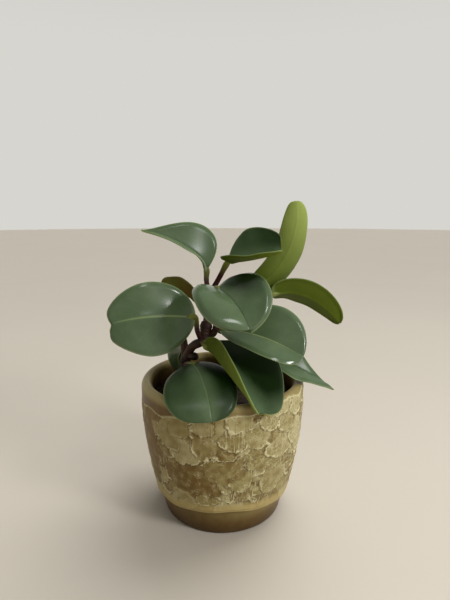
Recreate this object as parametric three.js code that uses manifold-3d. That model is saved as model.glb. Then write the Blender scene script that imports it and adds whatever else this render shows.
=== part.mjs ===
// A peperomia growing in a glazed stoneware pot. Millimetres, +Z up. The origin is the middle of
// the pot's flat base, and the plant's best side looks towards -Y, with +X on its right.

import * as THREE from 'three';
import { mergeVertices } from 'three/addons/utils/BufferGeometryUtils.js';
import Module from 'manifold-3d';

const wasm = await Module();
wasm.setup();

// Sizes of the pot
const potHeight = 102.4;
const potRadius = 60.8;
const lipThickness = 7.9;
const lipRound = 5.4;
const baseRadius = 45;
const baseRound = 2;
const footTopRadius = 48.8;
const footHeight = 18;
const crustRadius = 51.8;
const crustRound = 2.5;
const floorThickness = 10;
const soilLine = 88;
const soilCrown = 2;
const potSides = 48;
const curveSteps = 3;

// Sizes of the plant
const stalkRadius = 1.9;
const bladeThickness = 1.3;
const marginThickness = 0.8;
const creaseWidth = 0.08;
const stalkRunUnderBlade = 0.14;

// The clearance between two pieces that rest on or in each other
const seatGap = 0.3;

// Grid of a leaf blade, and the sides and steps of a stem or stalk
const bladeRows = 10;
const bladeColumns = 8;
const stemSides = 12;
const stalkSides = 8;
const stepLength = 6;

const materials = {
  pot: { color: 0x77683f, roughness: 0.45, metalness: 0 },
  soil: { color: 0x2e2119, roughness: 0.95, metalness: 0 },
  stem: { color: 0x3a2226, roughness: 0.5, metalness: 0 },
  leaf: { color: 0x33502f, roughness: 0.3, metalness: 0 },
};

// Stems. Each run is a bent tube through its points, and its last point is a swollen joint.
const stems = {
  stem_main: [
    { radius: 3.6, points: [[-30, 7, 64], [-30, 6, 84], [-29, 5, 100], [-28, 4, 113]] },
    { radius: 3.3, points: [[-28, 4, 110], [-26, 2, 119], [-21, -2, 126], [-13, -5, 130]] },
    { radius: 2.6, points: [[-13, -5, 130], [-12, -4, 142], [-10, -2, 156], [-8, 0, 168]] },
    { radius: 4.0, points: [[-13, -5, 131], [-12, -4, 141]] },
    { radius: 2.6, points: [[-13, -5, 130], [-6, -5, 137], [-3, -3, 145]] },
    { radius: 2.7, points: [[-26, 2, 116.5], [-21, -3, 117.5]] },
    { radius: 2.1, points: [[-3, -3, 145], [6, 2, 154], [15, 6, 160]] },
    { radius: 3.1, points: [[-28, 4, 110], [-29, 6, 122], [-32, 8, 132]] },
    { radius: 2.4, points: [[-32, 8, 132], [-33, 8, 139]] },
  ],
  stem_second: [
    { radius: 3.0, points: [[23, 9, 66], [24, 8, 84], [27, 6, 98]] },
    { radius: 2.6, points: [[27, 6, 98], [27, 5, 108], [27, 6, 115]] },
  ],
};

// Leaves. A leaf's midrib is a curve from its base through its middle to its tip, and face is the
// way its upper side looks. Pairs of values are for the left and right half, seen from the base
// to the tip with the upper side up:
//   share      how much of halfWidth the half has
//   fold       how far the half is folded up from flat at the midrib, in degrees
//   curl       how far it bends up further from the midrib to its margin, in degrees
//   foldTip, curlTip   the same at the tip, where they differ from the base
//   baseWedge, tipWedge   0.3 to 0.5 for a round end, 1 for a pointed one, more for a drawn-out one
//   ear        how far the half reaches back past the base
//   notch      how far it reaches forward past the tip
// stalk is the way of the leaf stalk from its stem to the base of the blade.
const leaves = {
  leaf_top_left: {
    base: [-11, -2, 182], middle: [-24, -6, 199], tip: [-56, -10, 212], face: [0.3, -0.6, 0.6],
    halfWidth: 22, share: [1.02, 1.04], fold: [42, 20], curl: [10, 10], baseWedge: [0.85, 1], tipWedge: [1.4, 1.4],
    ear: [0, -7], stem: 'stem_main', stalk: [[-9.5, 0, 165], [-11.5, -1, 174]],
  },
  leaf_top_cupped: {
    base: [4, 0, 188.5], middle: [22, -6, 191], tip: [42.3, -8, 196.3], face: [-0.2, -0.4, 1],
    halfWidth: 26, fold: [35, 38], foldTip: [35, 27], curl: [15, 5], baseWedge: [0.5, 0.3],
    tipWedge: [0.4, 0.3], ear: [0, 3], notch: [6.5, 0], stem: 'stem_main',
    stalk: [[-7.5, 0, 167], [-2, 0, 177]],
  },
  leaf_upright: {
    base: [22, 8, 165], middle: [49, 14, 194], tip: [56, 20, 232], face: [-0.1, 0.95, 0],
    halfWidth: 17, share: [1, 0.8], fold: [2, 2], curl: [62, 62], baseWedge: [0.4, 0.22],
    tipWedge: [0.38, 0.25], stem: 'stem_main', stalk: [[15, 6, 160], [18, 7, 162]],
  },
  leaf_right_arching: {
    base: [37, 8, 163], middle: [65, 12, 160], tip: [90, 10, 140], face: [0.3, 0.9, 0.6],
    halfWidth: 17, share: [0.9, 0.85], fold: [20, 20], curl: [10, 10], baseWedge: [0.35, 0.35],
    tipWedge: [0.42, 0.42], stem: 'stem_main', stalk: [[10, 4, 156.5], [24, 7, 158]],
  },
  leaf_left_large: {
    base: [-19, -14, 150], middle: [-47, -30, 154.5], tip: [-73, -36, 151], face: [0, -1, 0.3],
    halfWidth: 27, share: [1.07, 0.98], fold: [-6, -15], curl: [14, 24], baseWedge: [0.5, 0.5],
    tipWedge: [0.52, 0.55], notch: [8.5, 6], stem: 'stem_main', stalk: [[-15, -4, 129.5], [-18, -10, 139]],
  },
  leaf_centre: {
    base: [-4, -18, 172], middle: [8, -45, 167], tip: [17, -60, 153], face: [0.1, -0.7, 1],
    halfWidth: 29, share: [0.95, 0.93], fold: [23, 38], foldTip: [14, 0], curl: [15, -25],
    baseWedge: [0.35, 0.36], tipWedge: [0.5, 0.5], ear: [0, 5], stem: 'stem_main',
    stalk: [[-9, -1, 162], [-7, -8, 169]],
  },
  leaf_right_large: {
    base: [-2, -12, 140], middle: [25, -28, 140], tip: [54, -40, 129], face: [0.1, -0.9, 1],
    halfWidth: 27, share: [1.06, 0.69], fold: [18, 18], curl: [0, 0], baseWedge: [0.9, 0.8],
    tipWedge: [0.6, 0.4], stem: 'stem_main', stalk: [[-4, -4, 142], [-4, -8, 142]],
  },
  leaf_behind_left: {
    base: [-19, 8, 158], middle: [-31, 16, 162], tip: [-46, 26, 163], face: [0.1, 0.8, 1],
    halfWidth: 20, fold: [15, 15], curl: [10, 10], baseWedge: [0.3, 0.5], stem: 'stem_main',
    stalk: [[-11, -3, 150], [-14, 4, 156]],
  },
  leaf_front_trough: {
    base: [-13.5, -14, 132], middle: [2.8, -42, 121.3], tip: [23.5, -66, 101], face: [0.45, -0.25, 0.86],
    halfWidth: 26, share: [1.74, 0.5], fold: [15, 85], foldTip: [10, 40], curl: [15, 20],
    curlTip: [10, 70], baseWedge: [0.55, 0.8], tipWedge: [0.55, 1.5], notch: [12, 0],
    stem: 'stem_main', stalk: [[-12, -5, 130], [-11.5, -11, 131.5]],
  },
  leaf_over_rim: {
    base: [-22, -15, 116], middle: [-12, -48, 114], tip: [-6, -67, 96], face: [0, -0.6, 1],
    halfWidth: 27, share: [0.87, 1.1], fold: [2, 10], curl: [-18, -10], baseWedge: [0.4, 0.6],
    tipWedge: [0.35, 0.35], ear: [5, 0], stem: 'stem_main', stalk: [[-29, 5, 104], [-27, -5, 112]],
  },
  leaf_right_pointed: {
    base: [40, -6, 116], middle: [60, -7, 108], tip: [85, -4, 92], face: [0.1, -0.7, 1],
    halfWidth: 17, fold: [20, 20], curl: [10, 10], baseWedge: [0.5, 0.5], tipWedge: [2.2, 1.1],
    stem: 'stem_second', stalk: [[27, 5, 107], [32, -1, 114]],
  },
  leaf_inside_pot: {
    base: [-31, 10, 119], middle: [-34, 17, 112], tip: [-37, 25, 95], face: [-0.5, -0.8, 0.6],
    halfWidth: 14, fold: [15, 15], curl: [10, 10], stem: 'stem_main',
    stalk: [[-29, 5, 114], [-30, 9, 117]],
  },
  leaf_back_right: {
    base: [24, 18, 124], middle: [33, 38, 132], tip: [42, 58, 124], face: [0.1, 0.3, 1],
    halfWidth: 19, fold: [15, 15], curl: [15, 15], stem: 'stem_second',
    stalk: [[27, 6, 114], [25, 12, 120]],
  },
  leaf_back_left: {
    base: [-36, 14, 143], middle: [-46, 34, 146], tip: [-54, 56, 136], face: [-0.2, 0.3, 1],
    halfWidth: 20, fold: [15, 15], curl: [15, 15], stem: 'stem_main',
    stalk: [[-33, 8, 137], [-35, 10, 141]],
  },
  leaf_back_middle: {
    base: [-4, 12, 152], middle: [3, 34, 157], tip: [7, 56, 146], face: [0.1, 0.4, 1],
    halfWidth: 18, fold: [15, 15], curl: [15, 15], stem: 'stem_main',
    stalk: [[-12, -4, 142], [-9, 5, 149]],
  },
  leaf_back_low: {
    base: [22, 18, 106], middle: [24, 42, 114], tip: [28, 64, 100], face: [0, 0.3, 1],
    halfWidth: 18, fold: [15, 15], curl: [10, 10], stem: 'stem_second',
    stalk: [[26, 6, 98], [24, 12, 103]],
  },
};

const leafDefaults = {
  share: [1, 1], baseWedge: [0.5, 0.5], tipWedge: [0.4, 0.4], ear: [0, 0], notch: [0, 0],
};

const vector = (point) => new THREE.Vector3(...point);
const radians = THREE.MathUtils.degToRad;
const mix = THREE.MathUtils.lerp;

// A solid from a closed geometry whose faces point out
function toSolid(geometry) {
  const plain = geometry.clone();
  plain.deleteAttribute('normal');
  plain.deleteAttribute('uv');
  const merged = mergeVertices(plain, 1e-4);
  const index = merged.index.array;
  const triVerts = [];
  for (let i = 0; i < index.length; i += 3) {
    const [a, b, c] = [index[i], index[i + 1], index[i + 2]];
    if (a !== b && b !== c && c !== a) triVerts.push(a, b, c);
  }
  const vertProperties = new Float32Array(merged.attributes.position.array);
  return new wasm.Manifold(new wasm.Mesh({ numProp: 3, vertProperties, triVerts: new Uint32Array(triVerts) }));
}

function toMesh(name, solid, material) {
  const { vertProperties, triVerts } = solid.getMesh();
  const geometry = new THREE.BufferGeometry();
  geometry.setAttribute('position', new THREE.BufferAttribute(vertProperties, 3));
  geometry.setIndex(new THREE.BufferAttribute(triVerts, 1));
  geometry.computeVertexNormals();
  const mesh = new THREE.Mesh(geometry, new THREE.MeshStandardMaterial(material));
  mesh.name = name;
  return mesh;
}

// A round tube along a smooth curve through the points
function tube(points, radius, sides) {
  const path = new THREE.CatmullRomCurve3(points);
  const section = new THREE.Shape();
  section.absarc(0, 0, radius, 0, 2 * Math.PI);
  const steps = Math.max(2, Math.round(path.getLength() / stepLength));
  const options = { steps, curveSegments: sides / 2, bevelEnabled: false, extrudePath: path };
  return toSolid(new THREE.ExtrudeGeometry(section, options));
}

// A solid of revolution about Z from a profile of radius and height
function turned(profile) {
  const geometry = new THREE.LatheGeometry(profile, potSides);
  geometry.rotateX(Math.PI / 2);
  return toSolid(geometry);
}

// The pot's inner wall below the soil line, from the soil down to the middle of the floor
const soilLineRadius = potRadius - lipThickness + 0.2;

function cavityProfile(gap) {
  const wall = new THREE.Path();
  const floor = floorThickness + gap;
  wall.moveTo(soilLineRadius - gap, soilLine);
  wall.quadraticCurveTo(54 - gap, 56, 45 - gap, floor + 8);
  wall.quadraticCurveTo(43 - gap, floor, 37 - gap, floor);
  wall.lineTo(0, floor);
  return wall.getPoints(curveSteps);
}

function makePot() {
  const lipInside = potRadius - lipThickness;
  const lipCrest = (potRadius + lipInside) / 2;
  const lipStart = potHeight - lipRound;
  const crustStart = footHeight + crustRound;
  const outside = new THREE.Path();
  outside.moveTo(0, 0);
  outside.lineTo(baseRadius - baseRound, 0);
  outside.quadraticCurveTo(baseRadius, 0, baseRadius + 0.4, baseRound);
  outside.lineTo(footTopRadius, footHeight);
  outside.quadraticCurveTo(crustRadius, footHeight, crustRadius, crustStart);
  outside.quadraticCurveTo(potRadius + 1, 64, potRadius, 92);
  outside.lineTo(potRadius, lipStart);
  outside.quadraticCurveTo(potRadius, potHeight, lipCrest, potHeight);
  outside.quadraticCurveTo(lipInside, potHeight, lipInside, lipStart);
  return turned([...outside.getPoints(curveSteps), ...cavityProfile(0)]);
}

// The soil fills the pot to the soil line, crowned a little, with a plain hole for each stem
function makeSoil(stemHoles) {
  const top = new THREE.Path();
  top.moveTo(0, soilLine + soilCrown);
  top.quadraticCurveTo(36, soilLine + soilCrown, soilLineRadius - seatGap, soilLine);
  const profile = [...top.getPoints(curveSteps), ...cavityProfile(seatGap).slice(1)].reverse();
  return stemHoles.reduce((soil, hole) => soil.subtract(hole), turned(profile));
}

// The runs of a stem joined in one solid, made larger all round by extra, with a round joint at
// the end of every run
function makeStem(runs, extra) {
  const parts = runs.flatMap(({ radius, points }) => {
    const way = points.map(vector);
    const backward = way[0].clone().sub(way[1]).normalize();
    way[0].addScaledVector(backward, extra);
    const joint = new THREE.IcosahedronGeometry(radius * 1.12 + extra, 1);
    joint.translate(...points.at(-1));
    return [tube(way, radius + extra, stemSides), toSolid(joint)];
  });
  return wasm.Manifold.union(parts);
}

// The half width of a blade at s, 0 at its base to 1 at its tip: a power of the way from each end,
// scaled so that it is 1 at its widest place
function outline(s, baseWedge, tipWedge) {
  const widest = baseWedge / (baseWedge + tipWedge);
  const peak = widest ** baseWedge * (1 - widest) ** tipWedge;
  return (s ** baseWedge * (1 - s) ** tipWedge) / peak;
}

// The midrib's bend point, so that the curve passes through the leaf's middle
function midribCurve(leaf) {
  const [base, middle, tip] = [leaf.base, leaf.middle, leaf.tip].map(vector);
  const bend = middle.multiplyScalar(2).sub(base.clone().add(tip).multiplyScalar(0.5));
  return new THREE.QuadraticBezierCurve3(base, bend, tip);
}

// The midrib's point and the leaf's forward, up and right-hand directions at s
function midribFrame(leaf, curve, s) {
  const forward = curve.getTangent(s);
  const up = vector(leaf.face).projectOnPlane(forward).normalize();
  return { point: curve.getPoint(s), forward, up, right: forward.clone().cross(up) };
}

// The point of the blade's middle surface at s along the midrib and t across, -1 at the left
// margin to 1 at the right one. Each half leaves the midrib at its fold and turns through its
// curl as an arc, and the crease at the midrib is rounded.
function bladePoint(leaf, curve, s, t) {
  const side = t < 0 ? 0 : 1;
  const { point, forward, up, right } = midribFrame(leaf, curve, s);
  const fold = radians(mix(leaf.fold[side], (leaf.foldTip ?? leaf.fold)[side], s));
  const curl = radians(mix(leaf.curl[side], (leaf.curlTip ?? leaf.curl)[side], s)) + 1e-6;
  const across = Math.hypot(t, creaseWidth) - creaseWidth;
  const width = leaf.halfWidth * leaf.share[side] * outline(s, leaf.baseWedge[side], leaf.tipWedge[side]);
  const sideways = (width * (Math.sin(fold + curl * across) - Math.sin(fold))) / curl;
  const lift = (width * (Math.cos(fold) - Math.cos(fold + curl * across))) / curl;
  const back = leaf.ear[side] * (1 - s) ** 4 * (1 - (1 - s) ** 12);
  const ahead = leaf.notch[side] * s ** 6 * (1 - s ** 40);
  return point
    .addScaledVector(right, Math.sign(t) * sideways)
    .addScaledVector(up, lift)
    .addScaledVector(forward, Math.abs(t) ** 1.2 * (ahead - back));
}

// The blade as one closed solid. Its faces lie half the thickness to each side of the middle
// surface, are split into triangles alike, and meet in a thin wall along the margin.
function makeBlade(leaf, curve) {
  const ways = { top: 1, under: -1 };
  const rows = Array.from({ length: bladeRows + 1 }, (_, i) => (1 - Math.cos((Math.PI * i) / bladeRows)) / 2);
  const columns = Array.from({ length: bladeColumns + 1 }, (_, j) => (2 * j) / bladeColumns - 1);
  const positions = [];
  const numberOf = {};
  const nudge = 1e-3;
  for (const [name, way] of Object.entries(ways)) {
    rows.forEach((s, i) => columns.forEach((t, j) => {
      const atEnd = i === 0 || i === bladeRows;
      const inward = THREE.MathUtils.clamp(s, 0.004, 0.996);
      const along = bladePoint(leaf, curve, inward + nudge, t).sub(bladePoint(leaf, curve, inward - nudge, t));
      const across = bladePoint(leaf, curve, inward, t + nudge).sub(bladePoint(leaf, curve, inward, t - nudge));
      const normal = atEnd ? midribFrame(leaf, curve, s).up : across.cross(along).normalize();
      const thickness = atEnd ? marginThickness : mix(bladeThickness, marginThickness, t * t);
      const point = bladePoint(leaf, curve, s, t).addScaledVector(normal, (way * thickness) / 2);
      numberOf[`${name} ${i} ${j}`] = positions.length / 3;
      positions.push(...point.toArray());
    }));
  }
  const faces = [];
  const quad = (a, b, c, d) => faces.push(a, b, c, a, c, d);
  const at = (name, i, j) => numberOf[`${name} ${i} ${j}`];
  for (let i = 0; i < bladeRows; i += 1) {
    for (let j = 0; j < bladeColumns; j += 1) {
      quad(at('top', i, j), at('top', i, j + 1), at('top', i + 1, j + 1), at('top', i + 1, j));
      const [a, b] = [at('under', i, j), at('under', i, j + 1)];
      const [c, d] = [at('under', i + 1, j + 1), at('under', i + 1, j)];
      faces.push(a, c, b, a, d, c);
    }
    for (const [j, turn] of [[0, false], [bladeColumns, true]]) {
      const wall = [at('top', i, j), at('top', i + 1, j), at('under', i + 1, j), at('under', i, j)];
      quad(...(turn ? wall.reverse() : wall));
    }
  }
  const geometry = new THREE.BufferGeometry();
  geometry.setAttribute('position', new THREE.Float32BufferAttribute(positions, 3));
  geometry.setIndex(faces);
  return toSolid(geometry);
}

// The leaf stalk, which runs on under the blade as the start of its midrib
function makeStalk(leaf, curve) {
  const under = (s, depth) => {
    const { point, up } = midribFrame(leaf, curve, s);
    return point.addScaledVector(up, -depth);
  };
  const way = [...leaf.stalk.map(vector), under(0, 0.4), under(stalkRunUnderBlade, 0.7)];
  return tube(way, stalkRadius, stalkSides);
}

function makeLeaf(values, stemClearance) {
  const leaf = { ...leafDefaults, ...values };
  const curve = midribCurve(leaf);
  return makeBlade(leaf, curve).add(makeStalk(leaf, curve)).subtract(stemClearance);
}

const plant = new THREE.Group();
const stemHoles = Object.values(stems).map((runs) => makeStem(runs, seatGap));
const holeOf = Object.fromEntries(Object.keys(stems).map((name, i) => [name, stemHoles[i]]));
plant.add(toMesh('pot', makePot(), materials.pot));
plant.add(toMesh('soil', makeSoil(stemHoles), materials.soil));
for (const [name, runs] of Object.entries(stems)) {
  plant.add(toMesh(name, makeStem(runs, 0), materials.stem));
}
for (const [name, leaf] of Object.entries(leaves)) {
  plant.add(toMesh(name, makeLeaf(leaf, holeOf[leaf.stem]), materials.leaf));
}

export default plant;
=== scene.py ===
"""Dresses the potted peperomia: glossy leaves, woody stems, crumbly soil and a pot with a crusted glaze.

Each operator makes one piece, or one group of like pieces, as a surface worked out with numpy.
"""

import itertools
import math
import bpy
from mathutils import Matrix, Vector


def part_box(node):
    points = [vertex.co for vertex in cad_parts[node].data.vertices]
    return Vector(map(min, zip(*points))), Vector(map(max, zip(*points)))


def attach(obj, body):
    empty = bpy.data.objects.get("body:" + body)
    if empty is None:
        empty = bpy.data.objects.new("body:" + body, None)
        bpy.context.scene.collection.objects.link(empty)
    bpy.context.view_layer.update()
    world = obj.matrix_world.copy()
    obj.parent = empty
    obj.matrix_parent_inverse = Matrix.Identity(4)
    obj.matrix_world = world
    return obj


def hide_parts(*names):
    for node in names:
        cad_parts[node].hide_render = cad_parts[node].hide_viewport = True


bl_info = {
    "name": "Potted Peperomia",
    "version": (1, 0, 0),
    "blender": (4, 5, 0),
    "location": "3D View > Sidebar > Peperomia",
    "description": "Builds a peperomia with fleshy leaves in a pot with a crusted glaze",
    "category": "Object",
}

import bmesh
import bpy
import numpy as np
from bpy.props import FloatProperty, FloatVectorProperty, IntProperty, PointerProperty
from mathutils import Vector

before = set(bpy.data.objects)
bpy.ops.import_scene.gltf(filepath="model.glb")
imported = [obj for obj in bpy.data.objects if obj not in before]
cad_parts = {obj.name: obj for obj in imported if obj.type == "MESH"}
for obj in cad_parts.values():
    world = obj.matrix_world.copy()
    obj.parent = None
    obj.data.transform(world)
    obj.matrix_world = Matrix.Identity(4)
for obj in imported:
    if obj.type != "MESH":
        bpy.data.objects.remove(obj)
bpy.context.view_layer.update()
MM = 0.001

# The pot and the soil, from the frame. The pot stands round the Z axis.
POT_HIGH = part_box("pot")[1]
POT_RADIUS, POT_HEIGHT = POT_HIGH.x, POT_HIGH.z
SOIL_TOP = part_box("soil")[1].z

# The pot's profile, as pairs of radius and height
LIP_WIDTH = 7.9 * MM
LIP_ROUND = 5.4 * MM
LIP_START = POT_HEIGHT - LIP_ROUND
LIP_MIDDLE = POT_RADIUS - LIP_WIDTH / 2
FOOT_PROFILE = np.array([(43, 0), (45, 0), (45.4, 2)]) * MM
FOOT_TOP = np.array((48.8, 18)) * MM
CRUST_CURVE = np.array([(51.8, 20.5), (61.8, 64), (60.8, 92)]) * MM
FLOOR_HEIGHT = 10 * MM
SOIL_LINE = 88 * MM
INNER_CURVE = np.array([(53.1, 88), (54, 56), (45, 18)]) * MM
INNER_FOOT = np.array([(45, 18), (43, 10), (37, 10)]) * MM
SOIL_GAP = 0.3 * MM
SOIL_SETTLED = 1.2 * MM

# Grids of the pieces
BLADE_ROWS, BLADE_COLUMNS = 84, 72
STALK_SIDES, STEM_SIDES = 16, 20
WALL_ROWS, POT_COLUMNS = 117, 600
SOIL_ROWS, SOIL_COLUMNS = 60, 200

# Seeds of the noise and the random draws
GLAZE_SEED, FLAKE_SEED = 5, 14
SOIL_SEED, CRUMB_SEED = 21, 8

# The stage: how far the camera is to the right of the pot's axis, where the lights stand and what
# they shine at, and the way to the room's bright side
FLOOR_RADIUS = 6
CAMERA_SIDE = 2 * MM
KEY_PLACE = (0.3, 0.38, 0.87)
WINDOW_PLACE = (0.76, -0.55, 0.66)
PANE_PLACE = (0.32, -0.55, 1.05)
PANE_SIZE = 0.2
LIT_PLACE = Vector((0, 0, 0.12))
BRIGHT_SIDE = (0.5, 0.87, 0)

# Flakes of the crust that are placed one by one at the front: angle from the front in degrees, height,
# half width and half height in millimetres, then tone from brown to pale, ridge and comb
PLACED_FLAKES = (
    (-57, 60, 9, 30, 0.0, 0.1, 0.0),
    (-21, 49, 19, 14, 0.05, 0.15, 0.1),
    (2, 57, 14, 10, 0.3, 0.2, 0.0),
    (15, 37, 8, 7, 0.15, 0.3, 0.9),
    (12, 50, 9, 10, 0.6, 0.9, 0.2),
    (37, 44, 11, 12, 0.65, 0.5, 0.2),
    (30, 60, 14, 6, 0.4, 0.4, 0.0),
    (-25, 67, 11, 9, 0.8, 0.8, 0.7),
    (2, 71, 8, 7, 0.2, 0.7, 0.0),
    (-12, 73, 9, 9, 0.35, 0.9, 0.2),
    (8, 80, 10, 8, 0.35, 0.8, 1.0),
    (42, 68, 13, 8, 0.7, 0.8, 0.3),
    (22, 80, 9, 9, 0.6, 0.6, 0.2),
    (-36, 78, 10, 11, 0.55, 0.5, 0.1),
    (-27, 86, 9, 8, 0.5, 0.4, 0.1),
    (-12, 88, 8, 6, 0.6, 0.6, 0.3),
    (11, 92, 10, 7, 0.65, 1.0, 0.4),
    (31, 90, 8, 7, 0.7, 1.0, 0.3),
    (46, 84, 8, 8, 0.6, 0.9, 0.2),
    (40, 97, 9, 6, 0.8, 1.0, 0.2),
    (58, 75, 9, 9, 0.9, 0.8, 0.2),
    (57, 93, 8, 7, 0.8, 1.0, 0.2),
)

# A leaf's shape and looks unless its own values differ. Pairs are for its left and right half, seen
# from the base to the tip with the upper side up.
#   share        how much of half_width the half has
#   fold, curl   how many degrees it is folded up at the midrib, and bends up further to its margin
#   base_wedge, tip_wedge   0.3 to 0.5 for a round end, 1 for a pointed one, more for a drawn-out one
#   ear, notch   how many millimetres it reaches past the base and the tip
#   deep  painted shade: how much darker its upper side is painted where other leaves shade it
# Fold, curl and deep change to fold_tip, curl_tip and deep_tip where a leaf has them.
# Pale and flush tint the underside light green and red, gloss is the wax above, roll is how far the
# margin turns down, and rib is how light the midrib is: its own paler tone, and on some
# leaves a painted highlight along its ridge.
LEAF_DEFAULTS = dict(
    share=(1, 1), fold=(15, 15), curl=(10, 10), base_wedge=(0.5, 0.5), tip_wedge=(0.4, 0.4),
    ear=(0, 0), notch=(0, 0), deep=(0, 0), pale=0.15, flush=0, gloss=1, roll=1, rib=0.08,
)
# How far from the midrib the crease along it is rounded, as a share of the half width
CREASE_WIDTH = 0.08


def leaf_values(base, middle, tip, face, half_width, stalk, **own):
    """A leaf's values, in millimetres. Its midrib curves from base through middle to tip, face is the
    way its upper side looks, and its stalk passes through the points of stalk to the base."""
    place = dict(base=base, middle=middle, tip=tip, face=face, half_width=half_width, stalk=stalk)
    return {**LEAF_DEFAULTS, **place, **own}


LEAVES = {
    "leaf_top_left": leaf_values(
        (-11, -2, 182), (-24, -6, 199), (-56, -10, 212), (0.3, -0.6, 0.6), 22,
        ((-9.5, 0, 165), (-11.5, -1, 174)), share=(1.02, 1.04), fold=(42, 20),
        base_wedge=(0.85, 1), tip_wedge=(1.4, 1.4), ear=(0, -7), gloss=0.6,
    ),
    "leaf_top_cupped": leaf_values(
        (4, 0, 188.5), (22, -6, 191), (42.3, -8, 196.3), (-0.2, -0.4, 1), 26, ((-7.5, 0, 167), (-2, 0, 177)),
        fold=(35, 38), fold_tip=(35, 27), curl=(15, 5), base_wedge=(0.5, 0.3), tip_wedge=(0.4, 0.3),
        ear=(0, 3), notch=(6.5, 0), deep=(0.3, 0), deep_tip=(0.8, 0.1), gloss=0.1, roll=-0.6,
    ),
    "leaf_upright": leaf_values(
        (22, 8, 165), (49, 14, 194), (56, 20, 232), (-0.1, 0.95, 0), 17, ((15, 6, 160), (18, 7, 162)),
        share=(1, 0.8), fold=(2, 2), curl=(62, 62), base_wedge=(0.4, 0.22),
        tip_wedge=(0.38, 0.25), pale=1, roll=0,
    ),
    "leaf_right_arching": leaf_values(
        (37, 8, 163), (65, 12, 160), (90, 10, 140), (0.3, 0.9, 0.6), 17, ((10, 4, 156.5), (24, 7, 158)),
        share=(0.9, 0.85), fold=(20, 20), base_wedge=(0.35, 0.35), tip_wedge=(0.42, 0.42), pale=0,
    ),
    "leaf_left_large": leaf_values(
        (-19, -14, 150), (-47, -30, 154.5), (-73, -36, 151), (0, -1, 0.3), 27,
        ((-15, -4, 129.5), (-18, -10, 139)), share=(1.07, 0.98), fold=(-6, -15),
        curl=(14, 24), tip_wedge=(0.52, 0.55), notch=(8.5, 6), gloss=0.8, rib=0.7,
    ),
    "leaf_centre": leaf_values(
        (-4, -18, 172), (8, -45, 167), (17, -60, 153), (0.1, -0.7, 1), 29, ((-9, -1, 162), (-7, -8, 169)),
        share=(0.95, 0.93), fold=(23, 38), fold_tip=(14, 0), curl=(15, -25), base_wedge=(0.35, 0.36),
        tip_wedge=(0.5, 0.5), ear=(0, 5), deep=(2.1, 0.1), deep_tip=(-1.1, 0), roll=2.4,
    ),
    "leaf_right_large": leaf_values(
        (-2, -12, 140), (25, -28, 140), (54, -40, 129), (0.1, -0.9, 1), 27, ((-4, -4, 142), (-4, -8, 142)),
        share=(1.06, 0.69), fold=(18, 18), curl=(0, 0), base_wedge=(0.9, 0.8), tip_wedge=(0.6, 0.4), rib=2.5,
    ),
    "leaf_behind_left": leaf_values(
        (-19, 8, 158), (-31, 16, 162), (-46, 26, 163), (0.1, 0.8, 1), 20, ((-11, -3, 150), (-14, 4, 156)),
        base_wedge=(0.3, 0.5), flush=0.8,
    ),
    "leaf_front_trough": leaf_values(
        (-13.5, -14, 132), (2.8, -42, 121.3), (23.5, -66, 101), (0.45, -0.25, 0.86), 26,
        ((-12, -5, 130), (-11.5, -11, 131.5)), share=(1.74, 0.5), fold=(15, 85), fold_tip=(10, 40),
        curl=(15, 20), curl_tip=(10, 70), base_wedge=(0.55, 0.8), tip_wedge=(0.55, 1.5), notch=(12, 0),
        deep=(5, 3), deep_tip=(0.2, 0.5), pale=0.5, gloss=0.3,
    ),
    "leaf_over_rim": leaf_values(
        (-22, -15, 116), (-12, -48, 114), (-6, -67, 96), (0, -0.6, 1), 27, ((-29, 5, 104), (-27, -5, 112)),
        share=(0.87, 1.1), fold=(2, 10), curl=(-18, -10), base_wedge=(0.4, 0.6), tip_wedge=(0.35, 0.35),
        ear=(5, 0), deep=(1.6, 1.2), deep_tip=(0.6, 0.2), gloss=0.3, rib=0.3,
    ),
    "leaf_right_pointed": leaf_values(
        (40, -6, 116), (60, -7, 108), (85, -4, 92), (0.1, -0.7, 1), 17, ((27, 5, 107), (32, -1, 114)),
        fold=(20, 20), tip_wedge=(2.2, 1.1), gloss=0.5,
    ),
    "leaf_inside_pot": leaf_values(
        (-31, 10, 119), (-34, 17, 112), (-37, 25, 95), (-0.5, -0.8, 0.6), 14, ((-29, 5, 114), (-30, 9, 117))
    ),
    "leaf_back_right": leaf_values(
        (24, 18, 124), (33, 38, 132), (42, 58, 124), (0.1, 0.3, 1), 19, ((27, 6, 114), (25, 12, 120)),
        curl=(15, 15),
    ),
    "leaf_back_left": leaf_values(
        (-36, 14, 143), (-46, 34, 146), (-54, 56, 136), (-0.2, 0.3, 1), 20, ((-33, 8, 137), (-35, 10, 141)),
        curl=(15, 15),
    ),
    "leaf_back_middle": leaf_values(
        (-4, 12, 152), (3, 34, 157), (7, 56, 146), (0.1, 0.4, 1), 18, ((-12, -4, 142), (-9, 5, 149)),
        curl=(15, 15),
    ),
    "leaf_back_low": leaf_values(
        (22, 18, 106), (24, 42, 114), (28, 64, 100), (0, 0.3, 1), 18, ((26, 6, 98), (24, 12, 103))
    ),
}

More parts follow.
